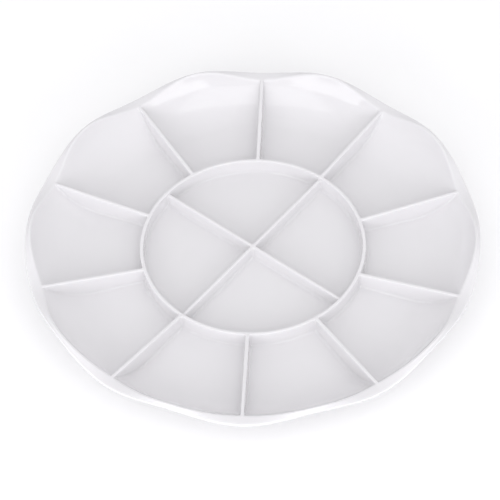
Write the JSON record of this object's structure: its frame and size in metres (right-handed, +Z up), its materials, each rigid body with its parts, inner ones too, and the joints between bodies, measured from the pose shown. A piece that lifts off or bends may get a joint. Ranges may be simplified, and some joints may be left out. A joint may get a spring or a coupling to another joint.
{
  "type": "lazy susan turntable",
  "caption": "Round divided serving dish with a wavy lobed rim, radial dividers and a ring wall, turning on a ball race over a low round base.",
  "frame": {"origin": "on the turning axis, on the table under the rubber feet", "axes": "+Z up along the turning axis; +Y along the first outer divider of the dish; +X to the right of it"},
  "size_m": [0.3798, 0.3798, 0.0553],
  "materials": {
    "dish_white": "glossy moulded white with a faint cool tint",
    "base_white": "fine satin moulded white",
    "race_steel": "turned and zinc plated",
    "ball_steel": "ground and polished",
    "cage_plastic": "natural nylon",
    "bush_plastic": "natural acetal",
    "plated_steel": "zinc plated",
    "foot_rubber": "matt grey rubber"
  },
  "bodies": {
    "base": {"base": "base_white", "lower_race": "race_steel", "hub_bush": "bush_plastic", "hub_cap": "base_white", "foot_1": "foot_rubber", "foot_2": "foot_rubber", "foot_3": "foot_rubber", "foot_4": "foot_rubber", "foot_5": "foot_rubber", "foot_6": "foot_rubber"},
    "dish": {"tray": "dish_white", "upper_race": "race_steel", "pivot_washer": "plated_steel", "pivot_screw": "plated_steel"},
    "cage": {"ball_cage": "cage_plastic"},
    "ball_01": {"ball_01": "ball_steel"},
    "ball_02": {"ball_02": "ball_steel"},
    "ball_03": {"ball_03": "ball_steel"},
    "ball_04": {"ball_04": "ball_steel"},
    "ball_05": {"ball_05": "ball_steel"},
    "ball_06": {"ball_06": "ball_steel"},
    "ball_07": {"ball_07": "ball_steel"},
    "ball_08": {"ball_08": "ball_steel"},
    "ball_09": {"ball_09": "ball_steel"},
    "ball_10": {"ball_10": "ball_steel"},
    "ball_11": {"ball_11": "ball_steel"},
    "ball_12": {"ball_12": "ball_steel"},
    "ball_13": {"ball_13": "ball_steel"},
    "ball_14": {"ball_14": "ball_steel"},
    "ball_15": {"ball_15": "ball_steel"},
    "ball_16": {"ball_16": "ball_steel"}
  },
  "joints": [
    {"name": "tray_spin", "type": "hinge", "parent": "base", "child": "dish", "pos_m": [0, 0, 0.0237], "axis": [0, 0, 1], "continuous": true},
    {"name": "cage_spin", "type": "hinge", "parent": "base", "child": "cage", "pos_m": [0, 0, 0.0165], "axis": [0, 0, 1], "continuous": true},
    {"name": "ball_01_roll", "type": "hinge", "parent": "cage", "child": "ball_01", "pos_m": [0, 0.08, 0.0165], "axis": [0, 1, 0], "continuous": true},
    {"name": "ball_02_roll", "type": "hinge", "parent": "cage", "child": "ball_02", "pos_m": [-0.03061, 0.07391, 0.0165], "axis": [-0.3827, 0.9239, 0], "continuous": true},
    {"name": "ball_03_roll", "type": "hinge", "parent": "cage", "child": "ball_03", "pos_m": [-0.05657, 0.05657, 0.0165], "axis": [-0.7071, 0.7071, 0], "continuous": true},
    {"name": "ball_04_roll", "type": "hinge", "parent": "cage", "child": "ball_04", "pos_m": [-0.07391, 0.03061, 0.0165], "axis": [-0.9239, 0.3827, 0], "continuous": true},
    {"name": "ball_05_roll", "type": "hinge", "parent": "cage", "child": "ball_05", "pos_m": [-0.08, 0, 0.0165], "axis": [-1, 0, 0], "continuous": true},
    {"name": "ball_06_roll", "type": "hinge", "parent": "cage", "child": "ball_06", "pos_m": [-0.07391, -0.03061, 0.0165], "axis": [-0.9239, -0.3827, 0], "continuous": true},
    {"name": "ball_07_roll", "type": "hinge", "parent": "cage", "child": "ball_07", "pos_m": [-0.05657, -0.05657, 0.0165], "axis": [-0.7071, -0.7071, 0], "continuous": true},
    {"name": "ball_08_roll", "type": "hinge", "parent": "cage", "child": "ball_08", "pos_m": [-0.03061, -0.07391, 0.0165], "axis": [-0.3827, -0.9239, 0], "continuous": true},
    {"name": "ball_09_roll", "type": "hinge", "parent": "cage", "child": "ball_09", "pos_m": [0, -0.08, 0.0165], "axis": [0, -1, 0], "continuous": true},
    {"name": "ball_10_roll", "type": "hinge", "parent": "cage", "child": "ball_10", "pos_m": [0.03061, -0.07391, 0.0165], "axis": [0.3827, -0.9239, 0], "continuous": true},
    {"name": "ball_11_roll", "type": "hinge", "parent": "cage", "child": "ball_11", "pos_m": [0.05657, -0.05657, 0.0165], "axis": [0.7071, -0.7071, 0], "continuous": true},
    {"name": "ball_12_roll", "type": "hinge", "parent": "cage", "child": "ball_12", "pos_m": [0.07391, -0.03061, 0.0165], "axis": [0.9239, -0.3827, 0], "continuous": true},
    {"name": "ball_13_roll", "type": "hinge", "parent": "cage", "child": "ball_13", "pos_m": [0.08, 0, 0.0165], "axis": [1, 0, 0], "continuous": true},
    {"name": "ball_14_roll", "type": "hinge", "parent": "cage", "child": "ball_14", "pos_m": [0.07391, 0.03061, 0.0165], "axis": [0.9239, 0.3827, 0], "continuous": true},
    {"name": "ball_15_roll", "type": "hinge", "parent": "cage", "child": "ball_15", "pos_m": [0.05657, 0.05657, 0.0165], "axis": [0.7071, 0.7071, 0], "continuous": true},
    {"name": "ball_16_roll", "type": "hinge", "parent": "cage", "child": "ball_16", "pos_m": [0.03061, 0.07391, 0.0165], "axis": [0.3827, 0.9239, 0], "continuous": true}
  ],
  "couplings": [
    {"joint": "cage_spin", "follows": "tray_spin", "ratio": 0.5},
    {"joint": "ball_01_roll", "follows": "tray_spin", "ratio": -13.333},
    {"joint": "ball_02_roll", "follows": "tray_spin", "ratio": -13.333},
    {"joint": "ball_03_roll", "follows": "tray_spin", "ratio": -13.333},
    {"joint": "ball_04_roll", "follows": "tray_spin", "ratio": -13.333},
    {"joint": "ball_05_roll", "follows": "tray_spin", "ratio": -13.333},
    {"joint": "ball_06_roll", "follows": "tray_spin", "ratio": -13.333},
    {"joint": "ball_07_roll", "follows": "tray_spin", "ratio": -13.333},
    {"joint": "ball_08_roll", "follows": "tray_spin", "ratio": -13.333},
    {"joint": "ball_09_roll", "follows": "tray_spin", "ratio": -13.333},
    {"joint": "ball_10_roll", "follows": "tray_spin", "ratio": -13.333},
    {"joint": "ball_11_roll", "follows": "tray_spin", "ratio": -13.333},
    {"joint": "ball_12_roll", "follows": "tray_spin", "ratio": -13.333},
    {"joint": "ball_13_roll", "follows": "tray_spin", "ratio": -13.333},
    {"joint": "ball_14_roll", "follows": "tray_spin", "ratio": -13.333},
    {"joint": "ball_15_roll", "follows": "tray_spin", "ratio": -13.333},
    {"joint": "ball_16_roll", "follows": "tray_spin", "ratio": -13.333}
  ]
}
